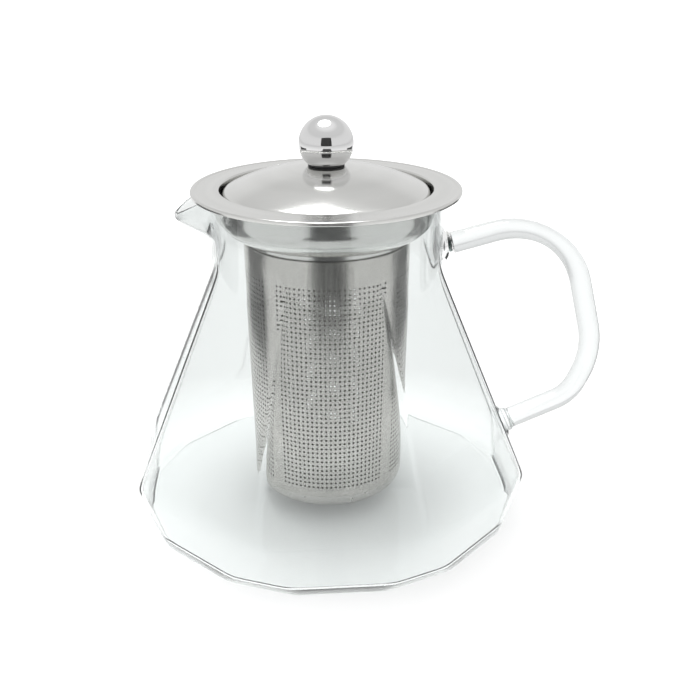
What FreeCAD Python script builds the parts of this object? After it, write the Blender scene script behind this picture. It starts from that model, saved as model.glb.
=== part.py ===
import FreeCAD, Part
import math
import os
import Sketcher

# Glass teapot with a lift-out steel infuser and a domed lid.
# Origin: centre of the flat base. +X points to the handle, -X to the pouring lip, +Z up.
# All lengths are millimetres, angles are degrees.

doc = FreeCAD.newDocument("Teapot")
sheet = doc.addObject("Spreadsheet::Sheet", "Sizes")

DRIVING_SIZES = [
    # Faceted glass body: axis to the flats, and how much is cut off the corners between them
    ("base_flat", 67.4),
    ("base_corner_cut", 5.0),
    ("girdle_height", 17.5),
    ("girdle_flat", 68.7),
    ("girdle_corner_cut", 0.8),
    ("shoulder_height", 88.0),
    ("shoulder_flat", 39.6),
    ("shoulder_corner_cut", 0.9),
    ("shoulder_rise", 13.0),
    ("neck_radius", 40.0),
    ("neck_length", 16.0),
    ("glass_wall", 2.0),
    ("glass_floor", 3.0),
    # Pouring lip, measured down and out from the rim
    ("lip_depth", 17.0),
    ("lip_overhang", 12.0),
    ("lip_tip_drop", 7.0),
    ("lip_tip_radius", 4.0),
    ("lip_half_angle", 28.0),
    # Handle rod: its roots on the glass, the corners of its route, the bends and the weld beads
    ("rod_diameter", 7.6),
    ("upper_root_drop", 20.0),
    ("lower_root_height", 27.0),
    ("handle_reach", 98.7),
    ("handle_side_rise", 27.0),
    ("handle_top_tuck", 14.2),
    ("handle_top_rise", 10.5),
    ("handle_low_tuck", 7.7),
    ("handle_low_rise", 9.5),
    ("handle_top_bend", 27.0),
    ("handle_side_bend", 30.0),
    ("handle_low_bend", 14.0),
    ("bead_length", 4.0),
    ("bead_flare", 3.0),
    # Infuser collar
    ("collar_sheet", 0.7),
    ("rim_gap", 0.3),
    ("flange_overhang", 6.0),
    ("flange_hem", 1.4),
    ("collar_neck_gap", 1.0),
    ("bowl_depth", 15.2),
    ("spigot_length", 8.0),
    # Infuser basket
    ("basket_radius", 28.9),
    ("basket_overhang", 0.4),
    ("basket_taper", 1.8),
    ("basket_sheet", 0.5),
    ("basket_fit", 0.1),
    ("groove_height", 1.8),
    ("basket_floor_gap", 3.0),
    ("basket_cup_bend", 6.0),
    ("hole_diameter", 1.4),
    ("hole_top_margin", 9.6),
    ("hole_bottom_margin", 3.5),
    ("hole_panel_angle", 66.0),
    # Lid
    ("lid_sheet", 0.7),
    ("lid_gap", 0.8),
    ("lid_seat_gap", 0.3),
    ("lid_edge_drop", 2.8),
    ("lid_edge_bend", 3.0),
    ("dome_rise", 10.2),
    ("vent_diameter", 2.0),
    ("vent_radius", 21.0),
    ("vent_angle", 140.0),
    # Knob and its screw
    ("ball_radius", 9.3),
    ("ball_flat_radius", 6.6),
    ("spacer_height", 0.5),
    ("spacer_radius", 6.2),
    ("screw_diameter", 4.0),
    ("screw_grip", 7.0),
    ("screw_clearance", 0.15),
    ("screw_tip_room", 1.0),
    ("screw_head_radius", 3.6),
    ("screw_head_height", 2.2),
    ("screw_slot_width", 1.0),
    ("screw_slot_depth", 1.1),
    ("washer_radius", 5.0),
    ("washer_thickness", 0.8),
]

FACETS = 8
HOLE_PANELS = 4
HOLE_COLUMNS = 5
HOLE_ROWS = 10

for row, (alias, number) in enumerate(DRIVING_SIZES, start=1):
    sheet.set("A%d" % row, alias)
    sheet.set("B%d" % row, str(number))
    sheet.setAlias("B%d" % row, alias)
doc.recompute()


class Size:
    """A length that knows its number and the sheet expression that gives it."""

    def __init__(self, number, text):
        self.number = number
        self.text = text

    def __add__(self, other):
        other = as_size(other)
        return Size(self.number + other.number, "(%s + %s)" % (self.text, other.text))

    def __sub__(self, other):
        other = as_size(other)
        return Size(self.number - other.number, "(%s - %s)" % (self.text, other.text))

    def __mul__(self, other):
        other = as_size(other)
        return Size(self.number * other.number, "(%s * %s)" % (self.text, other.text))

    def __truediv__(self, other):
        other = as_size(other)
        return Size(self.number / other.number, "(%s / %s)" % (self.text, other.text))

    def root(self):
        return Size(math.sqrt(self.number), "sqrt(%s)" % self.text)


def as_size(value):
    return value if isinstance(value, Size) else Size(float(value), repr(float(value)))


def size(alias):
    return Size(float(sheet.get(alias)), "Sizes." + alias)


ZERO = as_size(0)
subparts = []


def keep(label, thing):
    """Give a finished sub-part its name and put it on the list that is written out."""
    thing.Label = label
    subparts.append(thing)
    return thing


def origin_plane(body, role):
    return [plane for plane in body.Origin.OriginFeatures if plane.Role == role][0]


def pin_point(sketch, geo, end, across, up):
    """Fix one sketch point at the sheet's distances from the sketch origin."""
    for kind, axis, distance in (("DistanceX", -2, across), ("DistanceY", -1, up)):
        if distance is ZERO:
            sketch.addConstraint(Sketcher.Constraint("PointOnObject", geo, end, axis))
            continue
        index = sketch.addConstraint(Sketcher.Constraint(kind, -1, 1, geo, end, distance.number))
        sketch.setExpression("Constraints[%d]" % index, distance.text)


def pin_radius(sketch, geo, radius):
    index = sketch.addConstraint(Sketcher.Constraint("Radius", geo, radius.number))
    sketch.setExpression("Constraints[%d]" % index, radius.text)


def arc_between(start, end, radius, turn):
    """Arc from start to end, turning left (+1) or right (-1), as a counter-clockwise curve."""
    chord = end - start
    middle = start + chord * 0.5
    left = FreeCAD.Vector(-chord.y, chord.x, 0).normalize()
    rise = math.sqrt(max(radius * radius - chord.Length * chord.Length / 4, 0.0))
    centre = middle + left * (rise * turn)
    first, last = (start, end) if turn > 0 else (end, start)
    angles = [math.atan2(point.y - centre.y, point.x - centre.x) for point in (first, last)]
    if angles[1] < angles[0]:
        angles[1] += 2 * math.pi
    circle = Part.Circle(centre, FreeCAD.Vector(0, 0, 1), radius)
    return Part.ArcOfCircle(circle, angles[0], angles[1])


def draw_profile(sketch, outline):
    """Closed outline of (radius, height) corners; a corner reached by an arc adds (bend, turn)."""
    count = len(outline)
    points = [FreeCAD.Vector(corner[0].number, corner[1].number, 0) for corner in outline]
    ends = []
    for index in range(count):
        target = outline[(index + 1) % count]
        start = points[index]
        end = points[(index + 1) % count]
        if len(target) == 4:
            geo = sketch.addGeometry(arc_between(start, end, target[2].number, target[3]), False)
            ends.append((geo, 1, 2) if target[3] > 0 else (geo, 2, 1))
        else:
            geo = sketch.addGeometry(Part.LineSegment(start, end), False)
            ends.append((geo, 1, 2))
    for index in range(count):
        geo, _, finish = ends[index]
        follower, begin, _ = ends[(index + 1) % count]
        sketch.addConstraint(Sketcher.Constraint("Coincident", geo, finish, follower, begin))
    for index in range(count):
        geo, begin, _ = ends[index]
        pin_point(sketch, geo, begin, outline[index][0], outline[index][1])
        target = outline[(index + 1) % count]
        if len(target) == 4:
            pin_radius(sketch, geo, target[2])


def spun_body(name, outline):
    """A body spun about the pot's axis from its half section."""
    body = doc.addObject("PartDesign::Body", name)
    sketch = body.newObject("Sketcher::SketchObject", name + "_section")
    sketch.AttachmentSupport = (origin_plane(body, "XZ_Plane"), [""])
    sketch.MapMode = "FlatFace"
    draw_profile(sketch, outline)
    spin = body.newObject("PartDesign::Revolution", name + "_spin")
    spin.Profile = sketch
    spin.ReferenceAxis = (sketch, ["V_Axis"])
    spin.Angle = 360
    return body


def joined(kind, name, base, tool):
    thing = doc.addObject(kind, name)
    thing.Base = base
    thing.Tool = tool
    return thing


def cylinder(name, radius, height, bottom):
    thing = doc.addObject("Part::Cylinder", name)
    thing.setExpression("Radius", radius.text)
    thing.setExpression("Height", height.text)
    thing.setExpression("Placement.Base.z", bottom.text)
    return thing


# Glass body: an eight-sided pyramid with cut corners below its girdle, blown into a round neck

HALF_STEP = math.pi / FACETS
base_flat = size("base_flat").number
base_cut = size("base_corner_cut").number
girdle_height = size("girdle_height").number
girdle_flat = size("girdle_flat").number
girdle_cut = size("girdle_corner_cut").number
shoulder_height = size("shoulder_height").number
shoulder_flat = size("shoulder_flat").number
shoulder_cut = size("shoulder_corner_cut").number
neck_height = shoulder_height + size("shoulder_rise").number
neck_radius = size("neck_radius").number
glass_wall = size("glass_wall").number
glass_floor = size("glass_floor").number
lip_overhang = size("lip_overhang").number
lip_tip_drop = size("lip_tip_drop").number
lip_tip_radius = size("lip_tip_radius").number
lip_half_angle = math.radians(size("lip_half_angle").number)
rim = size("shoulder_height") + size("shoulder_rise") + size("neck_length")
rim_height = rim.number
lip_start_height = rim_height - size("lip_depth").number


def facet_ring(flat, cut, inset, height):
    """Corners of an octagon with cut corners, set in from its outside by an inset."""
    corner = flat / math.cos(HALF_STEP) - cut - inset
    reach = flat - inset
    half_edge = (corner - reach * math.cos(HALF_STEP)) / math.sin(HALF_STEP)
    ring = []
    for facet in range(FACETS):
        angle = 2 * HALF_STEP * facet
        out = FreeCAD.Vector(math.cos(angle), math.sin(angle), 0)
        along = FreeCAD.Vector(-math.sin(angle), math.cos(angle), 0)
        for side in (-1, 1):
            ring.append(out * reach + along * (half_edge * side) + FreeCAD.Vector(0, 0, height))
    return ring


def ring_edges(ring):
    return [Part.makeLine(ring[i], ring[(i + 1) % len(ring)]) for i in range(len(ring))]


def circle_edges(radius, height, angles):
    """A circle cut into arcs at the given angles, going round from the first one."""
    edges = []
    for start, end in zip(angles, angles[1:] + [angles[0] + 2 * math.pi]):
        points = []
        for angle in (start, (start + end) / 2, end):
            points.append(FreeCAD.Vector(radius * math.cos(angle), radius * math.sin(angle), height))
        edges.append(Part.Arc(*points).toShape())
    return edges


def side_face(low, high):
    """Flat face between two parallel straight edges, and a ruled face between any others."""
    straight = all(isinstance(edge.Curve, Part.Line) for edge in (low, high))
    if straight and low.tangentAt(0).isParallel(high.tangentAt(0), Part.Precision.angular()):
        ends = [low.Vertexes[0], low.Vertexes[-1], high.Vertexes[-1], high.Vertexes[0]]
        points = [vertex.Point for vertex in ends]
        return Part.Face(Part.makePolygon(points + points[:1]))
    return Part.makeRuledSurface(low, high)


def stacked_solid(levels):
    """Solid between level outlines that have the same number of edges."""
    faces = [Part.Face(Part.Wire(levels[0])), Part.Face(Part.Wire(levels[-1]))]
    for lower, upper in zip(levels, levels[1:]):
        faces += [side_face(low, high) for low, high in zip(lower, upper)]
    shell = Part.Shell(faces)
    shell.sewShape()
    solid = Part.Solid(shell)
    if solid.Volume < 0:
        solid.reverse()
    return solid


def lip_edges(root, reach, height):
    """Outline of the lip at one height, from its root inside the neck out to its tip at -X."""
    side = FreeCAD.Vector(-root * math.cos(lip_half_angle), root * math.sin(lip_half_angle), height)
    tip_x = lip_tip_radius - reach - lip_tip_radius * math.sin(lip_half_angle)
    tip = FreeCAD.Vector(tip_x, lip_tip_radius * math.cos(lip_half_angle), height)
    nose = FreeCAD.Vector(-reach, 0, height)
    far_side = FreeCAD.Vector(side.x, -side.y, height)
    far_tip = FreeCAD.Vector(tip.x, -tip.y, height)
    return [
        Part.makeLine(far_side, side),
        Part.makeLine(side, tip),
        Part.Arc(tip, nose, far_tip).toShape(),
        Part.makeLine(far_tip, far_side),
    ]


def glass_form(inset, bottom, top):
    """Outside of the glass for no inset, or the hollow inside it for an inset of one wall."""
    base_ring = facet_ring(base_flat, base_cut, inset, bottom)
    girdle_ring = facet_ring(girdle_flat, girdle_cut, inset, girdle_height)
    shoulder_ring = facet_ring(shoulder_flat, shoulder_cut, inset, shoulder_height)
    angles = [math.atan2(point.y, point.x) for point in shoulder_ring]
    angles = [angle if angle >= angles[0] else angle + 2 * math.pi for angle in angles]
    radius = neck_radius - inset
    levels = [ring_edges(ring) for ring in (base_ring, girdle_ring, shoulder_ring)]
    body = stacked_solid(levels + [circle_edges(radius, neck_height, angles)])
    neck = Part.makeCylinder(radius, top - neck_height, FreeCAD.Vector(0, 0, neck_height))
    run = lip_overhang / (rim_height - lip_tip_drop - lip_start_height)
    root = radius - glass_wall / 2
    low = lip_edges(root, root, lip_start_height)
    high = lip_edges(root, radius + run * (top - lip_start_height), top)
    lip = stacked_solid([low, high])
    return body.fuse([neck, lip]).removeSplitter()


def lip_trim():
    """Wedge that slopes the rim down from the neck to the tip of the lip and beyond it."""
    slope = lip_tip_drop / lip_overhang
    beyond = neck_radius + lip_overhang
    corners = [
        (-neck_radius, rim_height),
        (-neck_radius - beyond, rim_height - slope * beyond),
        (-neck_radius - beyond, rim_height + neck_radius),
        (-neck_radius, rim_height + neck_radius),
    ]
    points = [FreeCAD.Vector(x, -neck_radius, z) for x, z in corners]
    face = Part.Face(Part.makePolygon(points + points[:1]))
    return face.extrude(FreeCAD.Vector(0, 2 * neck_radius, 0))


blown_outside = doc.addObject("Part::Feature", "blown_outside")
blown_outside.Shape = glass_form(0.0, 0.0, rim_height).cut(lip_trim())
blown_hollow = doc.addObject("Part::Feature", "blown_hollow")
blown_hollow.Shape = glass_form(glass_wall, glass_floor, rim_height + glass_wall)
keep("glass_body", joined("Part::Cut", "glass_body", blown_outside, blown_hollow))


# Glass handle: one rod bent to a D, with a bead of glass melted on at each end

rod_radius = size("rod_diameter") / 2
bead_length = size("bead_length")
facet_run = size("girdle_flat") - size("shoulder_flat")
facet_slope = facet_run / (size("shoulder_height") - size("girdle_height"))
upper_root_height = rim - size("upper_root_drop")
lower_root_height = size("lower_root_height")
lower_root = size("girdle_flat") - facet_slope * (lower_root_height - size("girdle_height"))
handle_reach = size("handle_reach")
handle_route = [
    (size("neck_radius") + bead_length, upper_root_height),
    (handle_reach - size("handle_top_tuck"), upper_root_height + size("handle_top_rise")),
    (handle_reach, lower_root_height + size("handle_side_rise")),
    (handle_reach - size("handle_low_tuck"), lower_root_height + size("handle_low_rise")),
    (lower_root + bead_length, lower_root_height),
]
handle_bends = [size("handle_top_bend"), size("handle_side_bend"), size("handle_low_bend")]


def route_points(route):
    return [FreeCAD.Vector(across.number, up.number, 0) for across, up in route]


def draw_route(sketch, route, bends):
    """Straight runs between the route's corners, rounded at each corner by a tangent arc."""
    points = route_points(route)
    curves = []
    start = points[0]
    for corner, bend in zip(range(1, len(points) - 1), bends):
        before = (points[corner - 1] - points[corner]).normalize()
        after = (points[corner + 1] - points[corner]).normalize()
        half_turn = (math.pi - before.getAngle(after)) / 2
        step = bend.number * math.tan(half_turn)
        enter = points[corner] + before * step
        leave = points[corner] + after * step
        curves.append(Part.LineSegment(start, enter))
        curves.append(arc_between(enter, leave, bend.number, -1))
        start = leave
    curves.append(Part.LineSegment(start, points[-1]))
    geos = [sketch.addGeometry(curve, False) for curve in curves]
    for index in range(len(geos) - 1):
        line_first = index % 2 == 0
        end = 2 if line_first else 1
        sketch.addConstraint(Sketcher.Constraint("Tangent", geos[index], end, geos[index + 1], end))
    pin_point(sketch, geos[0], 1, *route[0])
    pin_point(sketch, geos[-1], 2, *route[-1])
    for number, bend in enumerate(bends):
        pin_radius(sketch, geos[2 * number + 1], bend)
        mark = sketch.addGeometry(Part.Point(points[number + 1]), True)
        sketch.addConstraint(Sketcher.Constraint("PointOnObject", mark, 1, geos[2 * number]))
        sketch.addConstraint(Sketcher.Constraint("PointOnObject", mark, 1, geos[2 * number + 2]))
        pin_point(sketch, mark, 1, *route[number + 1])


handle = doc.addObject("PartDesign::Body", "glass_handle")
handle_path = handle.newObject("Sketcher::SketchObject", "handle_path")
handle_path.AttachmentSupport = (origin_plane(handle, "XZ_Plane"), [""])
handle_path.MapMode = "FlatFace"
draw_route(handle_path, handle_route, handle_bends)
doc.recompute()
rod_section = handle.newObject("Sketcher::SketchObject", "rod_section")
rod_section.AttachmentSupport = [(handle_path, "Edge1")]
rod_section.MapMode = "NormalToEdge"
rod_circle = Part.Circle(FreeCAD.Vector(0, 0, 0), FreeCAD.Vector(0, 0, 1), rod_radius.number)
ring_geo = rod_section.addGeometry(rod_circle, False)
rod_section.addConstraint(Sketcher.Constraint("Coincident", ring_geo, 3, -1, 1))
pin_radius(rod_section, ring_geo, rod_radius)
handle_rod = handle.newObject("PartDesign::AdditivePipe", "handle_rod")
handle_rod.Profile = rod_section
handle_rod.Spine = handle_path
keep("glass_handle", handle)


def weld_bead(label, end, inward):
    """Bead of glass from the rod's end to the wall of the body, cut to the wall's shape."""
    cone = doc.addObject("Part::Cone", label + "_drop")
    cone.setExpression("Radius1", rod_radius.text)
    cone.setExpression("Radius2", (rod_radius + size("bead_flare")).text)
    cone.setExpression("Height", (bead_length * 2).text)
    spot = FreeCAD.Vector(end.x, 0, end.y)
    turn = FreeCAD.Rotation(FreeCAD.Vector(0, 0, 1), FreeCAD.Vector(inward.x, 0, inward.y))
    cone.Placement = FreeCAD.Placement(spot, turn)
    return keep(label, joined("Part::Cut", label, cone, blown_outside))


route = route_points(handle_route)
weld_bead("handle_upper_bead", route[0], route[0] - route[1])
weld_bead("handle_lower_bead", route[-1], route[-1] - route[-2])

# Infuser collar: a spun steel dish with a wide flange that hangs on the glass rim

collar_sheet = size("collar_sheet")
flange_under = rim + size("rim_gap")
flange_top = flange_under + collar_sheet
flange_radius = size("neck_radius") + size("flange_overhang")
hem_end = flange_top - size("flange_hem")
bowl_radius = size("neck_radius") - size("glass_wall") - size("collar_neck_gap")
bowl_bottom = flange_under - size("bowl_depth")
basket_radius = size("basket_radius")
basket_sheet = size("basket_sheet")
basket_taper = size("basket_taper")
basket_top = bowl_bottom - size("groove_height")
cup_bend = size("basket_cup_bend")
cup_bottom = size("glass_floor") + size("basket_floor_gap")
cup_top = cup_bottom + cup_bend
cup_radius = basket_radius - basket_taper
bowl_turn_radius = basket_radius - size("basket_overhang")
bowl_bend = bowl_radius - bowl_turn_radius
bowl_turn_height = bowl_bottom + bowl_bend
spigot_end = bowl_bottom - size("spigot_length")
spigot_taper = basket_taper * (basket_top - spigot_end) / (basket_top - cup_top)
spigot_radius = basket_radius - basket_sheet - size("basket_fit") - spigot_taper
spigot_inner = spigot_radius - collar_sheet

keep("infuser_collar", spun_body("infuser_collar", [
    (flange_radius, flange_top),
    (bowl_radius - collar_sheet, flange_top),
    (bowl_radius - collar_sheet, bowl_turn_height),
    (bowl_turn_radius, bowl_bottom + collar_sheet, bowl_bend - collar_sheet, -1),
    (spigot_inner, bowl_bottom + collar_sheet),
    (spigot_inner, spigot_end),
    (spigot_radius, spigot_end),
    (spigot_radius, bowl_bottom),
    (bowl_turn_radius, bowl_bottom),
    (bowl_radius, bowl_turn_height, bowl_bend, 1),
    (bowl_radius, flange_under),
    (flange_radius - collar_sheet, flange_under),
    (flange_radius - collar_sheet, hem_end),
    (flange_radius, hem_end),
]))

# Infuser basket: a perforated sheet rolled to a slightly tapered tube, with a drawn cup welded on

basket_tube = spun_body("basket_tube", [
    (cup_radius, cup_top),
    (basket_radius, basket_top),
    (basket_radius - basket_sheet, basket_top),
    (cup_radius - basket_sheet, cup_top),
])


def perforations():
    """Pins that punch the rows of holes through the tube, panel by panel."""
    radius = size("hole_diameter").number / 2
    low = cup_top.number + size("hole_bottom_margin").number
    high = basket_top.number - size("hole_top_margin").number
    panel_angle = math.radians(size("hole_panel_angle").number)
    inside = cup_radius.number - 2 * basket_sheet.number
    length = basket_radius.number + basket_sheet.number - inside
    pins = []
    for panel in range(HOLE_PANELS):
        middle = 2 * math.pi * panel / HOLE_PANELS
        for column in range(HOLE_COLUMNS):
            angle = middle + panel_angle * (column / (HOLE_COLUMNS - 1) - 0.5)
            out = FreeCAD.Vector(math.cos(angle), math.sin(angle), 0)
            for step in range(HOLE_ROWS):
                height = low + (high - low) * step / (HOLE_ROWS - 1)
                spot = out * inside + FreeCAD.Vector(0, 0, height)
                pins.append(Part.makeCylinder(radius, length, spot, out))
    return Part.makeCompound(pins)


punch_pins = doc.addObject("Part::Feature", "punch_pins")
punch_pins.Shape = perforations()
keep("basket_wall", joined("Part::Cut", "basket_wall", basket_tube, punch_pins))

keep("basket_cup", spun_body("basket_cup", [
    (cup_radius, cup_top, cup_bend, 1),
    (cup_radius - basket_sheet, cup_top),
    (cup_radius - cup_bend, cup_bottom + basket_sheet, cup_bend - basket_sheet, -1),
    (ZERO, cup_bottom + basket_sheet),
    (ZERO, cup_bottom),
    (cup_radius - cup_bend, cup_bottom),
]))

# Lid: a pressed steel dome with a straight skirt that sits in the curve of the collar's dish

lid_sheet = size("lid_sheet")
lid_radius = bowl_radius - collar_sheet - size("lid_gap")
lid_edge = flange_top - size("lid_edge_drop")
edge_bend = size("lid_edge_bend")
edge_centre = lid_radius - edge_bend
dome_rise = size("dome_rise")
dome_top = lid_edge + dome_rise
dome_square = edge_centre * edge_centre + dome_rise * dome_rise - edge_bend * edge_bend
dome_bend = dome_square / ((dome_rise - edge_bend) * 2)
blend_out = edge_centre / (dome_bend - edge_bend)
blend_up = (dome_bend - dome_rise) / (dome_bend - edge_bend)
inner_bend = edge_bend - lid_sheet
inner_dome = dome_bend - lid_sheet
seat_bend = bowl_bend - collar_sheet - size("lid_seat_gap")
seat_reach = lid_radius - bowl_turn_radius
skirt_end = bowl_turn_height - (seat_bend * seat_bend - seat_reach * seat_reach).root()
screw_radius = size("screw_diameter") / 2
screw_hole = screw_radius + size("screw_clearance")

lid_pressing = spun_body("lid_pressing", [
    (lid_radius, skirt_end),
    (lid_radius, lid_edge),
    (edge_centre + blend_out * edge_bend, lid_edge + blend_up * edge_bend, edge_bend, 1),
    (ZERO, dome_top, dome_bend, 1),
    (ZERO, dome_top - lid_sheet),
    (edge_centre + blend_out * inner_bend, lid_edge + blend_up * inner_bend, inner_dome, -1),
    (lid_radius - lid_sheet, lid_edge, inner_bend, -1),
    (lid_radius - lid_sheet, skirt_end),
])
lid_bore = cylinder("lid_bore", screw_hole, dome_rise * 2, lid_edge)
lid_drilled = joined("Part::Cut", "lid_drilled", lid_pressing, lid_bore)
vent_pin = cylinder("vent_pin", size("vent_diameter") / 2, dome_rise * 2, lid_edge)
vent_angle = math.radians(size("vent_angle").number)
vent_pin.setExpression("Placement.Base.x", (size("vent_radius") * math.cos(vent_angle)).text)
vent_pin.setExpression("Placement.Base.y", (size("vent_radius") * math.sin(vent_angle)).text)
keep("lid_dome", joined("Part::Cut", "lid_dome", lid_drilled, vent_pin))

# Knob: a polished ball on a thin spacer, held by a screw from under the lid

ball_radius = size("ball_radius")
ball_flat = size("ball_flat_radius")
spacer_top = dome_top + size("spacer_height")
ball_drop = (ball_radius * ball_radius - ball_flat * ball_flat).root()
ball_centre = spacer_top + ball_drop
screw_tip = spacer_top + size("screw_grip")

ball_turned = spun_body("ball_turned", [
    (ZERO, spacer_top),
    (ball_flat, spacer_top),
    (ball_radius, ball_centre, ball_radius, 1),
    (ZERO, ball_centre + ball_radius, ball_radius, 1),
])
tip_room = size("screw_tip_room")
ball_bore = cylinder("ball_bore", screw_hole, size("screw_grip") + tip_room * 2, spacer_top - tip_room)
keep("knob_ball", joined("Part::Cut", "knob_ball", ball_turned, ball_bore))

spacer_height = size("spacer_height")
spacer_disc = cylinder("spacer_disc", size("spacer_radius"), spacer_height, dome_top)
spacer_bore = cylinder("spacer_bore", screw_hole, spacer_height * 3, dome_top - spacer_height)
keep("knob_spacer", joined("Part::Cut", "knob_spacer", spacer_disc, spacer_bore))

washer_radius = size("washer_radius")
washer_thickness = size("washer_thickness")
washer_sag = inner_dome - (inner_dome * inner_dome - washer_radius * washer_radius).root()
washer_bottom = dome_top - lid_sheet - washer_sag - washer_thickness
washer_disc = cylinder("washer_disc", washer_radius, washer_thickness, washer_bottom)
washer_bore = cylinder("washer_bore", screw_hole, washer_thickness * 3, washer_bottom - washer_thickness)
keep("knob_washer", joined("Part::Cut", "knob_washer", washer_disc, washer_bore))

head_radius = size("screw_head_radius")
head_bottom = washer_bottom - size("screw_head_height")
screw_shank = cylinder("screw_shank", screw_radius, screw_tip - washer_bottom, washer_bottom)
screw_head = cylinder("screw_head", head_radius, size("screw_head_height"), head_bottom)
screw_blank = joined("Part::Fuse", "screw_blank", screw_head, screw_shank)
screw_slot = doc.addObject("Part::Box", "screw_slot")
screw_slot.setExpression("Length", (head_radius * 2).text)
screw_slot.setExpression("Width", size("screw_slot_width").text)
screw_slot.setExpression("Height", size("screw_slot_depth").text)
screw_slot.setExpression("Placement.Base.x", (ZERO - head_radius).text)
screw_slot.setExpression("Placement.Base.y", (ZERO - size("screw_slot_width") / 2).text)
screw_slot.setExpression("Placement.Base.z", head_bottom.text)
keep("knob_screw", joined("Part::Cut", "knob_screw", screw_blank, screw_slot))

doc.recompute()

# Every object has to be sound before anything is written
for thing in doc.Objects:
    if "Invalid" in thing.State or "Error" in thing.State:
        raise RuntimeError("%s failed: %s" % (thing.Label, thing.State))
for thing in subparts:
    if thing.Shape.isNull() or not thing.Shape.isValid():
        raise RuntimeError("%s has no valid shape" % thing.Label)
    if len(thing.Shape.Solids) != 1:
        raise RuntimeError("%s has %d solids" % (thing.Label, len(thing.Shape.Solids)))

os.makedirs("parts", exist_ok=True)
for thing in subparts:
    thing.Shape.exportStep("parts/%s.step" % thing.Label)
    box = thing.Shape.BoundBox
    print("%-18s volume %9.1f  x %.1f..%.1f  z %.1f..%.1f"
          % (thing.Label, thing.Shape.Volume, box.XMin, box.XMax, box.ZMin, box.ZMax))
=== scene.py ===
import math
import bmesh
import bpy
import numpy as np
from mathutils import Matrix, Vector


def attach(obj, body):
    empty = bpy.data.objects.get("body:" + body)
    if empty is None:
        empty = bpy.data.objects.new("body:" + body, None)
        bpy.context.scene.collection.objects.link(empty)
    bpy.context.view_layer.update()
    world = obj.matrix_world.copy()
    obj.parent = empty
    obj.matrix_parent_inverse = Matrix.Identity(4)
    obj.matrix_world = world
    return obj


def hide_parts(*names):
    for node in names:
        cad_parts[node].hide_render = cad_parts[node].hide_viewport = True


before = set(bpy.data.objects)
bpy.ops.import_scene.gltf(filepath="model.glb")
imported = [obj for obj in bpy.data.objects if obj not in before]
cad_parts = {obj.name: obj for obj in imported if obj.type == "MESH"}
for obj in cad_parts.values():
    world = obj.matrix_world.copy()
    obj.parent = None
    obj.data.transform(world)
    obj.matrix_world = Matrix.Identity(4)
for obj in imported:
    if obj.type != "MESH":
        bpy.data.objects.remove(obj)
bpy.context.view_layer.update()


# Pot: one piece of clear heat-proof glass, blown into an eight-sided mould that leaves cut corners
# under the widest line. The neck is round, the lip is pulled out by hand while the glass is soft,
# and the rim is melted smooth. Lengths are millimetres until a mesh is made, except in the studio.

MM = 0.001
POT_SIDES = 8
SIDE_STEP = 2 * math.pi / POT_SIDES
WELD_DISTANCE = 0.002 * MM
SLIVER_LENGTH = 0.001 * MM
GLASS_IOR = 1.47
COLOUR_A = 6
COLOUR_B = 7
COLOUR_MIXED = 2
pot_wall = 1.1
pot_floor = 1.5
base_flat = 67.4
base_corner = 67.95
base_edge_bend = 1.0
girdle_height = 17.5
girdle_flat = 68.7
girdle_corner = 73.56
side_slope = 0.4128
neck_radius = 40.0
rim_height = 117.0
lip_root_height = 98.0
lip_reach = 11.9
lip_drop = 7.0
lip_half_width = math.radians(31)
lip_narrowing = 3.4
lip_dip_curve = 1.1
lip_pull_start = 0.18
lip_pull_length = 0.76
shoulder_low = 82.0
outside_crispness = 170
inside_crispness = 130
neck_blend = 60
away_facing = 0.01
inside_floor_bend = 2.4
girdle_steps = (-3, -2.2, -1.5, -0.9, -0.4, 0, 0.4, 0.9, 1.5, 2.2, 3, 4.2, 6, 8.5)
disc_shares = (0.25, 0.5, 0.75, 0.92)

fine_steps = (0, 0.5, 1.0, 1.5, 2.1, 2.8, 3.6, 4.5, 5.5, 6.6)
wide_steps = (7.8, 9.0, 10.2, 11.4, 12.8, 14.4, 16.4, 18.6, 20.6)
corner_steps = fine_steps + wide_steps
pot_angles = []
for corner in range(POT_SIDES):
    middle = (corner + 0.5) * SIDE_STEP
    before = [middle - math.radians(step) for step in reversed(corner_steps[1:])]
    after = [middle + math.radians(step) for step in corner_steps]
    pot_angles += before + after + [middle + SIDE_STEP / 2]
pot_angles = np.array(pot_angles)
lip_turn = pot_angles % (2 * math.pi) - math.pi
lip_turn = np.where(np.abs(lip_turn) < lip_half_width, lip_turn, lip_half_width)
lip_share = np.cos(lip_turn / lip_half_width * math.pi / 2) ** lip_narrowing
lip_plan = (neck_radius + lip_reach * lip_share) * np.cos(lip_turn) - neck_radius
rim_line = rim_height - lip_drop * np.clip(lip_plan / lip_reach, 0, 1) ** lip_dip_curve


def side_radius(height, inset, crispness):
    """Distance of the flat sides, the cut corners and the round neck from the axis, round one ring."""
    upper = girdle_flat - side_slope * (height - girdle_height) - inset
    lower = base_flat + (girdle_flat - base_flat) * height / girdle_height - inset
    corner_cut = base_corner + (girdle_corner - base_corner) * height / girdle_height - inset
    facing = np.zeros_like(pot_angles)
    for side in range(POT_SIDES):
        flat = np.clip(np.cos(pot_angles - side * SIDE_STEP), away_facing, 1) * neck_radius
        corner = np.clip(np.cos(pot_angles - (side + 0.5) * SIDE_STEP), away_facing, 1) * neck_radius
        facing += (flat / upper) ** crispness + (flat / lower) ** crispness
        facing += (corner / corner_cut) ** crispness
    pyramid = neck_radius * facing ** (-1 / crispness)
    neck = neck_radius - inset
    return (pyramid ** neck_blend + neck ** neck_blend) ** (1 / neck_blend)


def level_ring(radius, height):
    across = radius * np.cos(pot_angles)
    along = radius * np.sin(pot_angles)
    return np.column_stack([across, along, height + np.zeros_like(pot_angles)])


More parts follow.
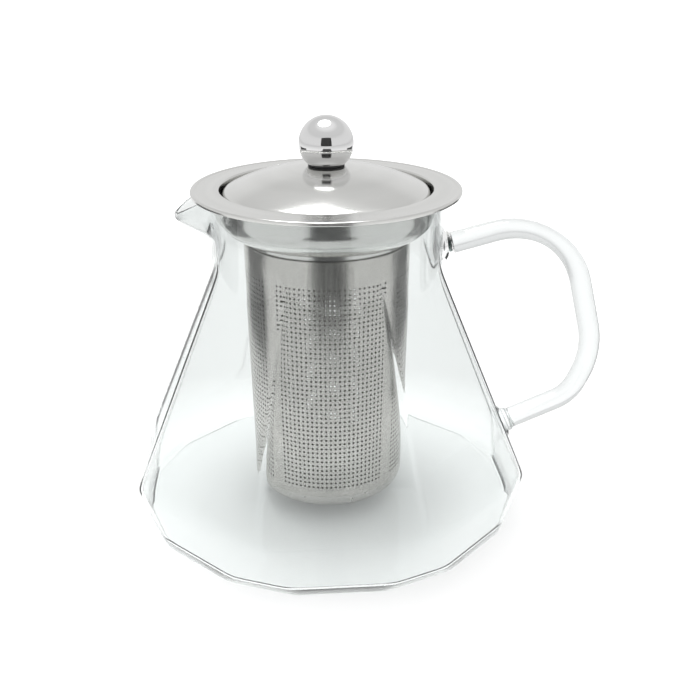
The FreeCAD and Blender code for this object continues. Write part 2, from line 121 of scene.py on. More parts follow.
def lip_ring(inset, share, crispness):
    """One ring of the neck, part of the way from the lip's root up to the dipping rim."""
    top = rim_line - pot_wall / 2
    height = lip_root_height + (top - lip_root_height) * share
    pull = np.clip((share - lip_pull_start) / lip_pull_length, 0, 1)
    pull = pull * pull * (3 - 2 * pull)
    radius = side_radius(lip_root_height + (rim_height - lip_root_height) * share, inset, crispness)
    return level_ring(radius + lip_reach * lip_share * pull, height)


def wall_rings(inset, crispness, bottom, bend):
    """Rings of one face of the glass from the edge of its bottom up to the rim."""
    rings = []
    for step in range(7):
        turn = step / 6 * math.pi / 2
        height = bottom + bend * (1 - math.cos(turn))
        rings.append(level_ring(side_radius(height, inset + bend * (1 - math.sin(turn)), crispness), height))
    start = bottom + bend
    low = [start + (girdle_height - 4 - start) * step / 6 for step in range(1, 7)]
    middle = [girdle_height + step for step in girdle_steps]
    high_start = middle[-1]
    high = [high_start + (shoulder_low - high_start) * step / 14 for step in range(1, 15)]
    shoulder = [shoulder_low + (lip_root_height - shoulder_low) * step / 12 for step in range(1, 13)]
    for height in low + middle + high + shoulder:
        rings.append(level_ring(side_radius(height, inset, crispness), height))
    for step in range(1, 17):
        rings.append(lip_ring(inset, step / 16, crispness))
    return rings


def mesh_piece(name, points, faces, smooth_below=40):
    """New piece from points in millimetres, smooth except across edges sharper than the given angle."""
    mesh = bpy.data.meshes.new(name)
    mesh.from_pydata([[value * MM for value in point] for point in points], [], faces)
    form = bmesh.new()
    form.from_mesh(mesh)
    bmesh.ops.remove_doubles(form, verts=form.verts, dist=WELD_DISTANCE)
    bmesh.ops.dissolve_degenerate(form, edges=form.edges, dist=SLIVER_LENGTH)
    bmesh.ops.recalc_face_normals(form, faces=form.faces)
    form.to_mesh(mesh)
    form.free()
    mesh.polygons.foreach_set("use_smooth", [True] * len(mesh.polygons))
    mesh.set_sharp_from_angle(angle=math.radians(smooth_below))
    piece = bpy.data.objects.new(name, mesh)
    bpy.context.scene.collection.objects.link(piece)
    return piece


def ring_faces(first, second, count):
    return [(first + i, first + (i + 1) % count, second + (i + 1) % count, second + i) for i in range(count)]


outside = wall_rings(0, outside_crispness, 0, base_edge_bend)
inside = wall_rings(pot_wall, inside_crispness, pot_floor, inside_floor_bend)
rim_roll = []
for step in range(1, 8):
    turn = step / 8 * math.pi
    edge = (outside[-1] + inside[-1]) / 2
    half = (outside[-1] - inside[-1]) / 2
    roll = edge + half * math.cos(turn)
    roll[:, 2] += pot_wall / 2 * math.sin(turn)
    rim_roll.append(roll)
under = [outside[0] * [share, share, 1] for share in disc_shares]
over = [inside[0] * [share, share, 1] for share in disc_shares[::-1]]
pot_rings = under + outside + rim_roll + inside[::-1] + over
pot_points = [point for ring in pot_rings for point in ring.tolist()]
pot_count = len(pot_angles)
pot_faces = []
for ring in range(len(pot_rings) - 1):
    pot_faces += ring_faces(ring * pot_count, (ring + 1) * pot_count, pot_count)
pot_points += [(0, 0, 0), (0, 0, pot_floor)]
last_ring = (len(pot_rings) - 1) * pot_count
for i in range(pot_count):
    pot_faces.append(((i + 1) % pot_count, i, len(pot_points) - 2))
    pot_faces.append((last_ring + i, last_ring + (i + 1) % pot_count, len(pot_points) - 1))
pot_glass = mesh_piece("pot_glass", pot_points, pot_faces, 60)


def place(tree, kind, values=None, **settings):
    """New shader node with values for its inputs, by name or number, and its own settings."""
    made = tree.nodes.new(kind)
    for name, value in settings.items():
        setattr(made, name, value)
    for name, value in (values or {}).items():
        made.inputs[name].default_value = value
    return made


def node_group(name, inputs, outputs):
    """Shader node group with value inputs and outputs, and its two end nodes."""
    tree = bpy.data.node_groups.new(name, "ShaderNodeTree")
    for label, value in inputs.items():
        socket = tree.interface.new_socket(label, in_out="INPUT", socket_type="NodeSocketFloat")
        socket.default_value = value
    for label in outputs:
        tree.interface.new_socket(label, in_out="OUTPUT", socket_type="NodeSocketFloat")
    return tree, tree.nodes.new("NodeGroupInput"), tree.nodes.new("NodeGroupOutput")


def new_finish(name):
    material = bpy.data.materials.new(name)
    material.use_nodes = True
    return material, material.node_tree, material.node_tree.nodes["Principled BSDF"]


def placed_group(tree, group, values):
    made = place(tree, "ShaderNodeGroup", node_tree=group)
    for name, value in values.items():
        made.inputs[name].default_value = value
    return made


def colour_between(tree, first, second, share):
    """Colour output that goes from the first tone to the second with the share."""
    tone = place(tree, "ShaderNodeMix", data_type="RGBA")
    tone.inputs[COLOUR_A].default_value = first
    tone.inputs[COLOUR_B].default_value = second
    tree.links.new(share, tone.inputs["Factor"])
    return tone.outputs[COLOUR_MIXED]


def glass_flow_group():
    """Slow waves that blowing leaves in glass, and the thin haze of handling on its surface."""
    tree, entry, leave = node_group("blown_glass_flow", {"Wave Size": 30.0}, ("Height", "Haze"))
    spot = place(tree, "ShaderNodeTexCoord")
    stretch = place(tree, "ShaderNodeMapping", {"Scale": (1.0, 1.0, 0.45)})
    waves = place(tree, "ShaderNodeTexNoise", {"Detail": 1.5, "Roughness": 0.4})
    tree.links.new(spot.outputs["Object"], stretch.inputs["Vector"])
    tree.links.new(stretch.outputs["Vector"], waves.inputs["Vector"])
    tree.links.new(entry.outputs["Wave Size"], waves.inputs["Scale"])
    tree.links.new(waves.outputs["Fac"], leave.inputs["Height"])
    smears = place(tree, "ShaderNodeTexNoise", {"Scale": 24.0, "Detail": 5.0, "Roughness": 0.6})
    tree.links.new(spot.outputs["Object"], smears.inputs["Vector"])
    faint = place(tree, "ShaderNodeMapRange", {"From Min": 0.52, "From Max": 0.85, "To Max": 1.0})
    tree.links.new(smears.outputs["Fac"], faint.inputs["Value"])
    tree.links.new(faint.outputs["Result"], leave.inputs["Haze"])
    return tree


blown_glass_flow = glass_flow_group()


def clear_glass(name, tint, edge_painted_shade, edge_width, smoke, density, wave_size, wave_depth, shade, painted_edge_light):
    """Clear glass with a cool tint, painted shade at grazing edges, a pale shadow, and outlines thinned by
    painted light.
    """
    material, tree, shader = new_finish(name)
    # Painted shade: the colour darkens towards the edge tone where the surface is seen at a grazing angle.
    grazing = place(tree, "ShaderNodeLayerWeight", {"Blend": 0.5})
    edge = place(tree, "ShaderNodeMath", {1: edge_width}, operation="POWER")
    tree.links.new(grazing.outputs["Facing"], edge.inputs[0])
    tone = colour_between(tree, tint, edge_painted_shade, edge.outputs["Value"])
    tree.links.new(tone, shader.inputs["Base Color"])
    shader.inputs["IOR"].default_value = GLASS_IOR
    shader.inputs["Transmission Weight"].default_value = 1.0
    flow = placed_group(tree, blown_glass_flow, {"Wave Size": wave_size})
    bump = place(tree, "ShaderNodeBump", {"Strength": 0.25, "Distance": wave_depth})
    tree.links.new(flow.outputs["Height"], bump.inputs["Height"])
    tree.links.new(bump.outputs["Normal"], shader.inputs["Normal"])
    haze = place(tree, "ShaderNodeMapRange", {"To Min": 0.0, "To Max": 0.03})
    tree.links.new(flow.outputs["Haze"], haze.inputs["Value"])
    tree.links.new(haze.outputs["Result"], shader.inputs["Roughness"])
    path = place(tree, "ShaderNodeLightPath")
    lit = place(tree, "ShaderNodeMath", operation="MAXIMUM")
    tree.links.new(path.outputs["Is Shadow Ray"], lit.inputs[0])
    tree.links.new(path.outputs["Is Diffuse Ray"], lit.inputs[1])
    # Painted light: at grazing angles the glass turns partly see-through, so its dark outlines show lighter
    # and thinner.
    outline = place(tree, "ShaderNodeMapRange", {"From Min": 0.6, "From Max": 0.92, "To Max": painted_edge_light})
    tree.links.new(grazing.outputs["Facing"], outline.inputs["Value"])
    shadow_pass_and_painted_edge_light = place(tree, "ShaderNodeMath", operation="MAXIMUM")
    tree.links.new(lit.outputs["Value"], shadow_pass_and_painted_edge_light.inputs[0])
    tree.links.new(outline.outputs["Result"], shadow_pass_and_painted_edge_light.inputs[1])
    passing = place(tree, "ShaderNodeBsdfTransparent", {"Color": shade})
    through = place(tree, "ShaderNodeMixShader")
    tree.links.new(shadow_pass_and_painted_edge_light.outputs["Value"], through.inputs[0])
    tree.links.new(shader.outputs["BSDF"], through.inputs[1])
    tree.links.new(passing.outputs["BSDF"], through.inputs[2])
    tree.links.new(through.outputs["Shader"], tree.nodes["Material Output"].inputs["Surface"])
    depth = place(tree, "ShaderNodeVolumeAbsorption", {"Color": smoke, "Density": density})
    tree.links.new(depth.outputs["Volume"], tree.nodes["Material Output"].inputs["Volume"])
    return material


glass_smoke = (0.45, 0.6, 0.58, 1)
pot_clear = clear_glass(
    "pot_clear_glass",
    tint=(0.87, 0.887, 0.883, 1),
    # Painted shade: the pot's grazing edges are coloured a little darker.
    edge_painted_shade=(0.84, 0.86, 0.855, 1),
    edge_width=3.0,
    smoke=glass_smoke,
    density=4.0,
    wave_size=26.0,
    wave_depth=0.0004,
    shade=(0.985, 0.988, 0.988, 1),
    # Painted light: grazing edges turn up to this share see-through.
    painted_edge_light=0.72,
)
pot_glass.data.materials.append(pot_clear)
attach(pot_glass, "pot")
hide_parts("glass_body")


# Handle: one solid rod of the same glass, bent to a D by hand over a flame. Each end is melted
# onto the pot, which leaves a thick ring of glass that flares out onto the wall. Rod and rings are
# one run of glass here, as they are on the real pot once it has cooled.

rod_radius = 3.8
ROD_SIDES = 40
handle_corners = (
    (44.0, 97.0, 0),
    (84.5, 107.5, 27.0),
    (98.7, 54.0, 30.0),
    (91.0, 36.5, 14.0),
    (68.8, 27.0, 0),
)
weld_profile = (
    (0.0, 1.0),
    (0.12, 1.13),
    (0.28, 1.2),
    (0.42, 1.16),
    (0.52, 1.2),
    (0.68, 1.55),
    (0.84, 1.64),
    (1.0, 1.78),
)
weld_gap = 0.05
pressed_at = 0.27
pressed_length = 0.11
pressed_thinning = 0.13
pressed_widening = 0.05


def rounded_line(corners, arc_step=8):
    """Points along a line of (across, up, bend) corners, each bent to an arc of its own radius."""
    points = [corners[0][:2]]
    for index in range(1, len(corners) - 1):
        here = Vector(corners[index][:2])
        back = (Vector(corners[index - 1][:2]) - here).normalized()
        ahead = (Vector(corners[index + 1][:2]) - here).normalized()
        bend = corners[index][2]
        if bend <= 0:
            points.append(tuple(here))
            continue
        half_turn = (math.pi - back.angle(ahead)) / 2
        centre = here + (back + ahead).normalized() * bend / math.cos(half_turn)
        start = here + back * bend * math.tan(half_turn) - centre
        end = here + ahead * bend * math.tan(half_turn) - centre
        steps = max(2, math.ceil(math.degrees(2 * half_turn) / arc_step))
        for step in range(steps + 1):
            share = step / steps
            arm = start * (1 - share) + end * share
            points.append(tuple(centre + arm.normalized() * bend))
    points.append(corners[-1][:2])
    return points


def even_line(points, gap):
    """The same line with its points an even gap apart."""
    line = [Vector(point) for point in points]
    lengths = [0.0]
    for first, second in zip(line, line[1:]):
        lengths.append(lengths[-1] + (second - first).length)
    count = round(lengths[-1] / gap)
    spots = np.linspace(0, lengths[-1], count + 1)
    across = np.interp(spots, lengths, [point.x for point in line])
    up = np.interp(spots, lengths, [point.y for point in line])
    return [Vector((float(x), float(z))) for x, z in zip(across, up)]


def neck_face(side, up):
    return math.sqrt((neck_radius + weld_gap) ** 2 - side * side)


def low_side_face(side, up):
    return girdle_flat - side_slope * (up - girdle_height) + weld_gap


def weld_rings(end, inward, wall_face):
    """Rings of the melted glass from the rod's end to the wall, following the wall's own shape."""
    cross = Vector((-inward.y, inward.x))
    rings = []
    for share, swell in weld_profile:
        ring = []
        for step in range(ROD_SIDES):
            turn = 2 * math.pi * step / ROD_SIDES
            side = rod_radius * swell * math.sin(turn)
            spot = end + cross * (rod_radius * swell * math.cos(turn))
            reach = 0.0
            for _ in range(12):
                at = spot + inward * reach
                reach += (at.x - wall_face(side, at.y)) / -inward.x
            at = spot + inward * reach * share
            ring.append((at.x, side, at.y))
        rings.append(ring)
    return rings


rod_line = even_line(rounded_line(handle_corners, 4), 1.5)
rod_rings = []
for index, spot in enumerate(rod_line):
    share = index / (len(rod_line) - 1)
    run = (rod_line[min(index + 1, len(rod_line) - 1)] - rod_line[max(index - 1, 0)]).normalized()
    cross = Vector((run.y, -run.x))
    pressed = math.exp(-((share - pressed_at) / pressed_length) ** 2)
    thick = rod_radius * (1 - pressed_thinning * pressed)
    wide = rod_radius * (1 + pressed_widening * pressed)
    ring = []
    for step in range(ROD_SIDES):
        turn = 2 * math.pi * step / ROD_SIDES
        at = spot - cross * (thick * math.cos(turn))
        ring.append((at.x, wide * math.sin(turn), at.y))
    rod_rings.append(ring)
top_weld = weld_rings(rod_line[0], (rod_line[0] - rod_line[1]).normalized(), neck_face)
low_weld = weld_rings(rod_line[-1], (rod_line[-1] - rod_line[-2]).normalized(), low_side_face)
handle_rings = top_weld[:0:-1] + rod_rings + low_weld[1:]
handle_points = [point for ring in handle_rings for point in ring]
handle_faces = []
for ring in range(len(handle_rings) - 1):
    handle_faces += ring_faces(ring * ROD_SIDES, (ring + 1) * ROD_SIDES, ROD_SIDES)
handle_faces.append(tuple(range(ROD_SIDES)))
handle_faces.append(tuple(range(len(handle_points) - ROD_SIDES, len(handle_points))))
handle_glass = mesh_piece("handle_glass", handle_points, handle_faces, 60)
rod_clear = clear_glass(
    "rod_clear_glass",
    tint=(0.93, 0.94, 0.94, 1),
    # Painted shade: the rod's grazing edges are coloured dark grey.
    edge_painted_shade=(0.3, 0.315, 0.31, 1),
    edge_width=1.4,
    smoke=glass_smoke,
    density=10.0,
    wave_size=60.0,
    wave_depth=0.0003,
    shade=(0.95, 0.955, 0.955, 1),
    painted_edge_light=0.0,
)
handle_glass.data.materials.append(rod_clear)
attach(handle_glass, "pot")
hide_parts("glass_handle", "handle_upper_bead", "handle_lower_bead")


# Infuser collar: a dish spun from stainless sheet, with a wide flange that hangs on the glass rim,
# a rolled edge, and a short spigot below that the basket is pressed onto. It is left satin, with
# the fine rings of the spinning tool.

collar_outline = (
    (46.0, 117.1, 0.0),
    (46.0, 118.0, 0.55),
    (44.6, 118.0, 1.5),
    (44.2, 117.85, 0.4),
    (36.3, 118.0, 0.55),
    (36.3, 102.8, 8.2),
    (27.3, 102.8, 0.3),
    (27.3, 94.1, 0.1),
    (27.95, 94.1, 0.1),
    (27.95, 102.1, 0.15),
    (37.0, 102.1, 8.9),
    (37.0, 117.3, 1.1),
    (45.2, 117.3, 0.3),
    (45.2, 116.6, 0.3),
    (46.0, 116.6, 0.4),
    (46.0, 117.1, 0.0),
)


def spun_piece(name, outline, sides=160, smooth_below=40, arc_step=8):
    """Piece turned about the upright axis from a closed outline of (radius, height, bend) corners."""
    line = rounded_line(outline, arc_step)[:-1]
    points = []
    for radius, height in line:
        for step in range(sides):
            turn = 2 * math.pi * step / sides
            points.append((radius * math.cos(turn), radius * math.sin(turn), height))
    faces = []
    for index in range(len(line)):
        faces += ring_faces(index * sides, (index + 1) % len(line) * sides, sides)
    return mesh_piece(name, points, faces, smooth_below)


def tool_rings_group():
    """Rings a spinning or turning tool leaves round the axis, broken up along their length, and bands of
    painted sheen.
    """
    tree, entry, leave = node_group("tool_rings", {"Rings": 2600.0}, ("Lines", "Sheen Bands"))
    spot = place(tree, "ShaderNodeTexCoord")
    parts = place(tree, "ShaderNodeSeparateXYZ")
    tree.links.new(spot.outputs["Object"], parts.inputs["Vector"])
    flat = place(tree, "ShaderNodeCombineXYZ")
    tree.links.new(parts.outputs["X"], flat.inputs["X"])
    tree.links.new(parts.outputs["Y"], flat.inputs["Y"])
    away = place(tree, "ShaderNodeVectorMath", operation="LENGTH")
    tree.links.new(flat.outputs["Vector"], away.inputs[0])
    ring = place(tree, "ShaderNodeMath", operation="ADD")
    tree.links.new(away.outputs["Value"], ring.inputs[0])
    tree.links.new(parts.outputs["Z"], ring.inputs[1])
    fine = place(tree, "ShaderNodeMath", operation="MULTIPLY")
    tree.links.new(ring.outputs["Value"], fine.inputs[0])
    tree.links.new(entry.outputs["Rings"], fine.inputs[1])
    shift = place(tree, "ShaderNodeVectorMath", {"Scale": 8.0}, operation="SCALE")
    tree.links.new(spot.outputs["Object"], shift.inputs[0])
    grain = {"Scale": 1.0, "Detail": 3.0, "Roughness": 0.65}
    lines = place(tree, "ShaderNodeTexNoise", grain, noise_dimensions="4D")
    tree.links.new(shift.outputs["Vector"], lines.inputs["Vector"])
    tree.links.new(fine.outputs["Value"], lines.inputs["W"])
    tree.links.new(lines.outputs["Fac"], leave.inputs["Lines"])
    # Painted sheen: broad bands round the axis, which steel_finish turns into lighter and darker rings of
    # colour.
    wide = place(tree, "ShaderNodeMath", {1: 260.0}, operation="MULTIPLY")
    tree.links.new(ring.outputs["Value"], wide.inputs[0])
    sheen_bands = place(tree, "ShaderNodeTexNoise", {"Scale": 1.0, "Detail": 2.0}, noise_dimensions="4D")
    tree.links.new(shift.outputs["Vector"], sheen_bands.inputs["Vector"])
    tree.links.new(wide.outputs["Value"], sheen_bands.inputs["W"])
    tree.links.new(sheen_bands.outputs["Fac"], leave.inputs["Sheen Bands"])
    return tree


def handling_group():
    """Soft smears and fine rubs that hands and cloths leave on bright metal."""
    tree, entry, leave = node_group("handling_marks", {"Smear Size": 45.0}, ("Smears", "Rubs"))
    spot = place(tree, "ShaderNodeTexCoord")
    smears = place(tree, "ShaderNodeTexNoise", {"Detail": 4.0, "Roughness": 0.55, "Distortion": 0.6})
    tree.links.new(spot.outputs["Object"], smears.inputs["Vector"])
    tree.links.new(entry.outputs["Smear Size"], smears.inputs["Scale"])
    tree.links.new(smears.outputs["Fac"], leave.inputs["Smears"])
    turned = place(tree, "ShaderNodeMapping", {"Rotation": (0.5, 0.8, 0.3), "Scale": (900.0, 60.0, 400.0)})
    tree.links.new(spot.outputs["Object"], turned.inputs["Vector"])
    rubs = place(tree, "ShaderNodeTexNoise", {"Scale": 1.0, "Detail": 2.0})
    tree.links.new(turned.outputs["Vector"], rubs.inputs["Vector"])
    thin = place(tree, "ShaderNodeMapRange", {"From Min": 0.6, "From Max": 0.8})
    tree.links.new(rubs.outputs["Fac"], thin.inputs["Value"])
    tree.links.new(thin.outputs["Result"], leave.inputs["Rubs"])
    return tree


tool_rings = tool_rings_group()
handling_marks = handling_group()


def steel_finish(name, dull, bright, smooth, rough, rings, ring_depth):
    """Stainless steel with two roughnesses, tool rings, handling marks, and painted sheen: bands between two
    tones.
    """
    material, tree, shader = new_finish(name)
    shader.inputs["Metallic"].default_value = 1.0
    turned = placed_group(tree, tool_rings, {"Rings": rings})
    handled = placed_group(tree, handling_marks, {"Smear Size": 45.0})
    # Painted sheen: the colour goes from the dull to the bright tone in broad bands round the axis.
    tone = colour_between(tree, dull, bright, turned.outputs["Sheen Bands"])
    tree.links.new(tone, shader.inputs["Base Color"])
    marks = place(tree, "ShaderNodeMath", {1: 0.35}, operation="MULTIPLY_ADD")
    tree.links.new(handled.outputs["Rubs"], marks.inputs[0])
    tree.links.new(handled.outputs["Smears"], marks.inputs[2])
    spread = {"From Min": 0.25, "From Max": 1.0, "To Min": smooth, "To Max": rough}
    gloss = place(tree, "ShaderNodeMapRange", spread)
    tree.links.new(marks.outputs["Value"], gloss.inputs["Value"])
    tree.links.new(gloss.outputs["Result"], shader.inputs["Roughness"])
    bump = place(tree, "ShaderNodeBump", {"Strength": 0.35, "Distance": ring_depth})
    tree.links.new(turned.outputs["Lines"], bump.inputs["Height"])
    tree.links.new(bump.outputs["Normal"], shader.inputs["Normal"])
    return material


collar_spun = spun_piece("collar_spun", collar_outline, 192)
satin_steel = steel_finish(
    "satin_spun_steel",
    dull=(0.6, 0.6, 0.585, 1),
    bright=(0.72, 0.72, 0.705, 1),
    smooth=0.14,
    rough=0.26,
    rings=2600.0,
    ring_depth=0.00003,
)
collar_spun.data.materials.append(satin_steel)
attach(collar_spun, "infuser")
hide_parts("infuser_collar")


# Basket wall: thin stainless sheet, punched with rows of small round holes in four fields, then
# rolled to a slightly tapered tube. The plain bands at its ends hold it to the collar and the cup.

wall_top = 100.1
wall_bottom = 12.0
wall_top_radius = 28.9
wall_bottom_radius = 27.1
sheet = 0.5
HOLE_FIELDS = 4
HOLE_COLUMNS = 24
HOLE_ROWS = 44
field_angle = math.radians(80.0)
field_low = 14.9
field_high = 91.4
hole_radius = 0.41
plain_low = 13.4
plain_high = [93.6, 96.8]
STRIP_STEPS = 6


def wall_point(turn, height, inset):
    share = (height - wall_bottom) / (wall_top - wall_bottom)
    radius = wall_bottom_radius + (wall_top_radius - wall_bottom_radius) * share
    return ((radius - inset) * math.cos(turn), (radius - inset) * math.sin(turn), height)


def punched_wall():
    """Both faces of the sheet, the edges of every hole, and the two end edges."""
    turns = []
    for field in range(HOLE_FIELDS):
        start = 2 * math.pi * field / HOLE_FIELDS - field_angle / 2
        turns += [start + field_angle * step / (2 * HOLE_COLUMNS) for step in range(2 * HOLE_COLUMNS)]
        strip = 2 * math.pi / HOLE_FIELDS - field_angle
        turns += [start + field_angle + strip * step / STRIP_STEPS for step in range(STRIP_STEPS)]
    per_field = 2 * HOLE_COLUMNS + STRIP_STEPS
    field_height = field_high - field_low
    heights = [wall_bottom, plain_low]
    heights += [field_low + field_height * step / (2 * HOLE_ROWS) for step in range(2 * HOLE_ROWS + 1)]
    heights += plain_high + [wall_top]
    points = []
    for inset in (0, sheet):
        points += [wall_point(turn, height, inset) for height in heights for turn in turns]
    around = len(turns)
    face_size = around * len(heights)
    faces = []

    def lattice(column, row, face):
        return face * face_size + row * around + column % around

    for column in range(around):
        punched_column = column % per_field < 2 * HOLE_COLUMNS
        for row in range(len(heights) - 1):
            if punched_column and 2 <= row < 2 + 2 * HOLE_ROWS:
                continue
            for face in (0, 1):
                corners = ((column, row), (column + 1, row), (column + 1, row + 1), (column, row + 1))
                faces.append(tuple(lattice(i, j, face) for i, j in corners))
        for row in (0, len(heights) - 1):
            edge = (lattice(column, row, 0), lattice(column + 1, row, 0))
            faces.append(edge + (lattice(column + 1, row, 1), lattice(column, row, 1)))
    outline = ((1, 0), (1, 1), (0, 1), (-1, 1), (-1, 0), (-1, -1), (0, -1), (1, -1))
    for field in range(HOLE_FIELDS):
        for hole_column in range(HOLE_COLUMNS):
            column = field * per_field + 2 * hole_column + 1
            for hole_row in range(HOLE_ROWS):
                row = 3 + 2 * hole_row
                height = heights[row]
                radius = math.hypot(*wall_point(0, height, 0)[:2])
                rims = []
                for inset in (0, sheet):
                    rims.append(len(points))
                    for i, j in outline:
                        length = math.hypot(i, j)
                        turn = turns[column] + hole_radius * i / length / radius
                        points.append(wall_point(turn, height + hole_radius * j / length, inset))
                for k in range(len(outline)):
                    nxt = (k + 1) % len(outline)
                    for face in (0, 1):
                        first = lattice(column + outline[k][0], row + outline[k][1], face)
                        second = lattice(column + outline[nxt][0], row + outline[nxt][1], face)
                        faces.append((first, second, rims[face] + nxt, rims[face] + k))
                    faces.append((rims[0] + k, rims[0] + nxt, rims[1] + nxt, rims[1] + k))
    return points, faces


basket_sheet = mesh_piece("basket_sheet", *punched_wall(), 30)


def rolled_sheet_finish():
    """Rolled stainless sheet with upright grain, a warm tone and rubbed patches."""
    material, tree, shader = new_finish("rolled_sheet_steel")
    shader.inputs["Metallic"].default_value = 1.0
    spot = place(tree, "ShaderNodeTexCoord")
    drawn = place(tree, "ShaderNodeMapping", {"Scale": (1500.0, 1500.0, 40.0)})
    tree.links.new(spot.outputs["Object"], drawn.inputs["Vector"])
    grain = place(tree, "ShaderNodeTexNoise", {"Scale": 1.0, "Detail": 3.0, "Roughness": 0.6})
    tree.links.new(drawn.outputs["Vector"], grain.inputs["Vector"])
    handled = placed_group(tree, handling_marks, {"Smear Size": 60.0})
    dull = (0.5, 0.488, 0.465, 1)
    bright = (0.62, 0.606, 0.58, 1)
    tone = colour_between(tree, dull, bright, handled.outputs["Smears"])
    tree.links.new(tone, shader.inputs["Base Color"])
    spread = {"From Min": 0.3, "From Max": 0.75, "To Min": 0.2, "To Max": 0.28}
    gloss = place(tree, "ShaderNodeMapRange", spread)
    tree.links.new(grain.outputs["Fac"], gloss.inputs["Value"])
    tree.links.new(gloss.outputs["Result"], shader.inputs["Roughness"])
    bump = place(tree, "ShaderNodeBump", {"Strength": 0.12, "Distance": 0.00001})
    tree.links.new(grain.outputs["Fac"], bump.inputs["Height"])
    tree.links.new(bump.outputs["Normal"], shader.inputs["Normal"])
    return material


rolled_steel = rolled_sheet_finish()
basket_sheet.data.materials.append(rolled_steel)
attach(basket_sheet, "infuser")
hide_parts("basket_wall")


# Basket cup: a shallow bottom drawn from the same sheet, with a soft round edge, welded all round
# to the end of the basket wall.

cup_outline = (
    (0.0, 6.0, 0),
    (27.1, 6.0, 5.9),
    (27.1, 12.0, 0.1),
    (26.6, 12.0, 0.1),
    (26.6, 6.5, 5.4),
    (0.0, 6.5, 0),
    (0.0, 6.0, 0),
)
cup_drawn = spun_piece("cup_drawn", cup_outline, 160)
drawn_steel = steel_finish(
    "drawn_cup_steel",
    dull=(0.54, 0.53, 0.51, 1),
    bright=(0.64, 0.63, 0.61, 1),
    smooth=0.18,
    rough=0.32,
    rings=1800.0,
    ring_depth=0.00002,
)
cup_drawn.data.materials.append(drawn_steel)
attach(cup_drawn, "infuser")
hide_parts("basket_cup")


# Lid: a dome pressed from stainless sheet, polished on top, with a straight skirt that drops into
# the collar, a drilled steam hole, and a hole at the crown for the knob's screw.

dome_top = 125.4
dome_bend = 79.9
dome_centre = dome_top - dome_bend
crown_hole = 2.2
lid_radius = 35.5
lid_edge_height = 115.2
lid_edge_bend = 3.0
lid_sheet = 0.7
skirt_top = 111.5
skirt_low = 108.0
skirt_tip = 107.9
EDGE_STEPS = 8
DOME_STEPS = 24


def lid_line():
    """Outline of the pressed lid: skirt, rolled edge and dome, outside and then inside."""
    edge_centre = lid_radius - lid_edge_bend
    meet = math.atan2(edge_centre, lid_edge_height - dome_centre)
    crown = math.asin(crown_hole / dome_bend)

    def edge_point(bend, share):
        turn = (math.pi / 2 - meet) * share
        return (edge_centre + bend * math.cos(turn), lid_edge_height + bend * math.sin(turn), 0)

    def dome_point(bend, share):
        turn = meet + (crown - meet) * share
        return (bend * math.sin(turn), dome_centre + bend * math.cos(turn), 0)

    line = [(lid_radius, skirt_low, 0), (lid_radius, skirt_top, 0)]
    line += [edge_point(lid_edge_bend, step / EDGE_STEPS) for step in range(EDGE_STEPS + 1)]
    line += [dome_point(dome_bend, step / DOME_STEPS) for step in range(1, DOME_STEPS + 1)]
    dome_inside = dome_bend - lid_sheet
    edge_inside = lid_edge_bend - lid_sheet
    line += [dome_point(dome_inside, 1 - step / DOME_STEPS) for step in range(DOME_STEPS + 1)]
    line += [edge_point(edge_inside, 1 - step / EDGE_STEPS) for step in range(1, EDGE_STEPS + 1)]
    inside_radius = lid_radius - lid_sheet
    tip_radius = lid_radius - lid_sheet / 2
    line += [(inside_radius, skirt_top, 0), (inside_radius, skirt_low, 0), (tip_radius, skirt_tip, 0)]
    return line + line[:1]


lid_pressed = spun_piece("lid_pressed", lid_line(), 192, 35)
vent_turn = math.radians(140)
vent_reach = 21 * MM
vent_radius = 1
drill_low = 112
drill_high = 130
drill_line = (
    (0, drill_low, 0),
    (vent_radius, drill_low, 0),
    (vent_radius, drill_high, 0),
    (0, drill_high, 0),
    (0, drill_low, 0),
)
drill = spun_piece("vent_drill", drill_line, 32)
drill.location = (vent_reach * math.cos(vent_turn), vent_reach * math.sin(vent_turn), 0)
cut = lid_pressed.modifiers.new("steam_hole", "BOOLEAN")
cut.operation = "DIFFERENCE"
cut.object = drill
bpy.context.view_layer.update()
drilled = bpy.data.meshes.new_from_object(lid_pressed.evaluated_get(bpy.context.evaluated_depsgraph_get()))
lid_pressed.modifiers.clear()
lid_pressed.data = drilled
bpy.data.objects.remove(drill)
polished_steel = steel_finish(
    "polished_lid_steel",
    dull=(0.64, 0.64, 0.625, 1),
    bright=(0.74, 0.74, 0.725, 1),
    smooth=0.1,
    rough=0.2,
    rings=2200.0,
    ring_depth=0.000012,
)
lid_pressed.data.materials.clear()
lid_pressed.data.materials.append(polished_steel)
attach(lid_pressed, "lid")
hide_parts("lid_dome")


# Knob: a mirror-polished steel ball on a thin near-black ring, drawn down onto the dome by a
# slotted screw and a washer from inside the lid.

ball_radius = 9.3
ball_centre = 132.45
ball_bore = 2.15
ball_bore_top = 133.9
ball_seat = 125.95
seat_edge_radius = 6.55
seat_edge_height = 125.92
ball_low_turn = -44.6
ball_cap_turn = 76.6
ball_turns = [ball_low_turn + (ball_cap_turn - ball_low_turn) * step / 32 for step in range(1, 33)]
ball_turns += [ball_cap_turn + (90 - ball_cap_turn) * step / 6 for step in range(1, 7)]
ball_line = [(ball_bore, ball_seat, 0), (seat_edge_radius, seat_edge_height, 0)]
for degrees in ball_turns:
    turn = math.radians(degrees)
    across = max(ball_radius * math.cos(turn), 0.0)
    ball_line.append((across, ball_centre + ball_radius * math.sin(turn), 0))
ball_line += [(0.0, ball_bore_top, 0), (ball_bore, ball_bore_top, 0), (ball_bore, ball_seat, 0)]
knob_polished = spun_piece("knob_polished", ball_line, 96)
mirror_steel = steel_finish(
    "mirror_ball_steel",
    dull=(0.72, 0.72, 0.72, 1),
    bright=(0.8, 0.8, 0.8, 1),
    smooth=0.015,
    rough=0.05,
    rings=900.0,
    ring_depth=0.000003,
)
knob_polished.data.materials.append(mirror_steel)
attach(knob_polished, "lid")
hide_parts("knob_ball")

